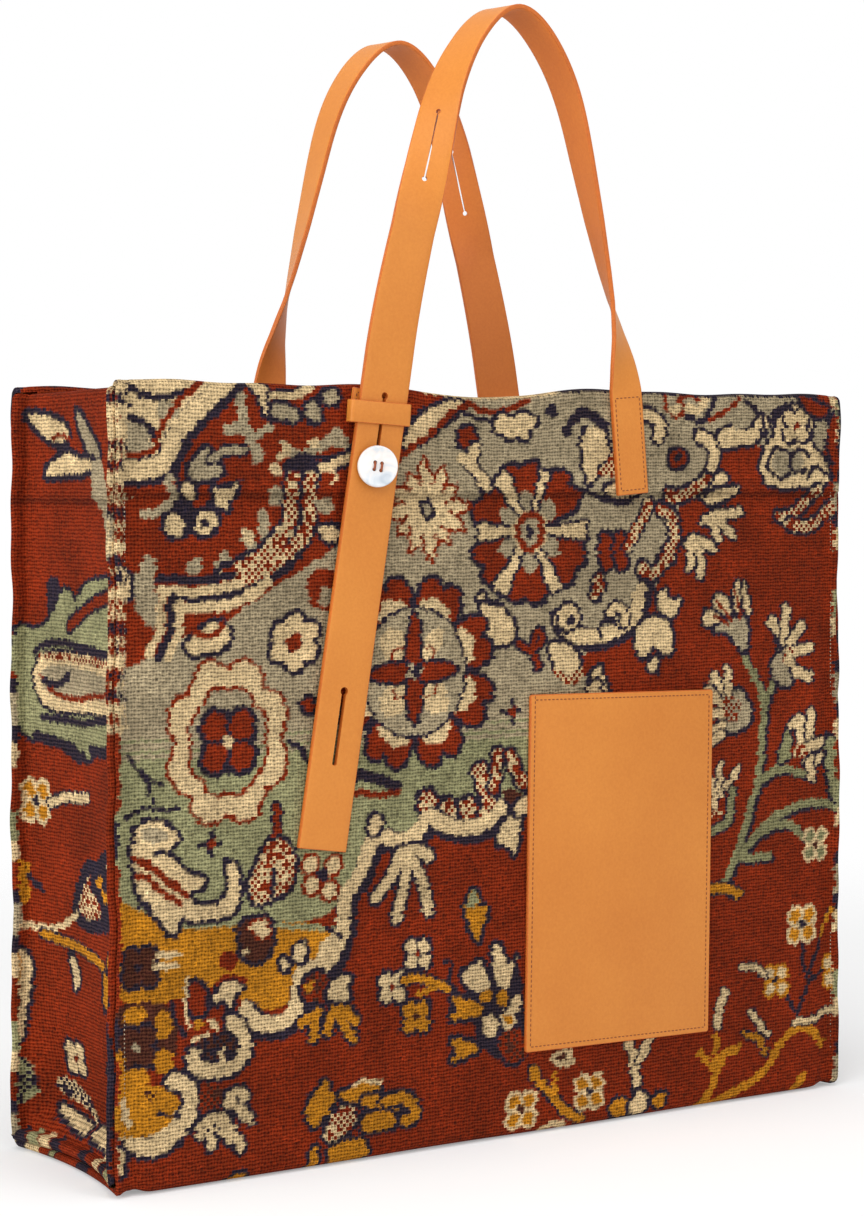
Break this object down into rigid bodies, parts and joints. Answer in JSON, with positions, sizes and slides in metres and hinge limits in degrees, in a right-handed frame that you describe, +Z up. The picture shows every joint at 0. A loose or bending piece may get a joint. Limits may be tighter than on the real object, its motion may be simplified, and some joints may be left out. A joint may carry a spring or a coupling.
{
  "type": "tote bag",
  "caption": "Upright carpet tote with bowed gussets, pinched corner seams, leather handles that button through a keeper, and a flat leather front pocket.",
  "frame": {"origin": "on the floor under the middle of the bag", "axes": "+Z up, the front with the pocket faces -Y, +X to the right as seen from the front"},
  "size_m": [0.443, 0.1486, 0.5727],
  "materials": {
    "carpet": "cut-pile carpet cloth in an oriental design",
    "leather": "smooth vegetable-tanned, natural tan",
    "shell": "polished mother-of-pearl",
    "thread": "waxed thread"
  },
  "bodies": {
    "root": {"carpet_body": "carpet", "left_gusset": "carpet", "right_gusset": "carpet", "pocket": "leather", "front_strap": "leather", "back_strap": "leather", "front_keeper": "leather", "back_keeper": "leather", "front_tab": "leather", "back_tab": "leather", "front_button": "shell", "back_button": "shell", "front_button_thread": "thread", "back_button_thread": "thread"}
  },
  "joints": []
}
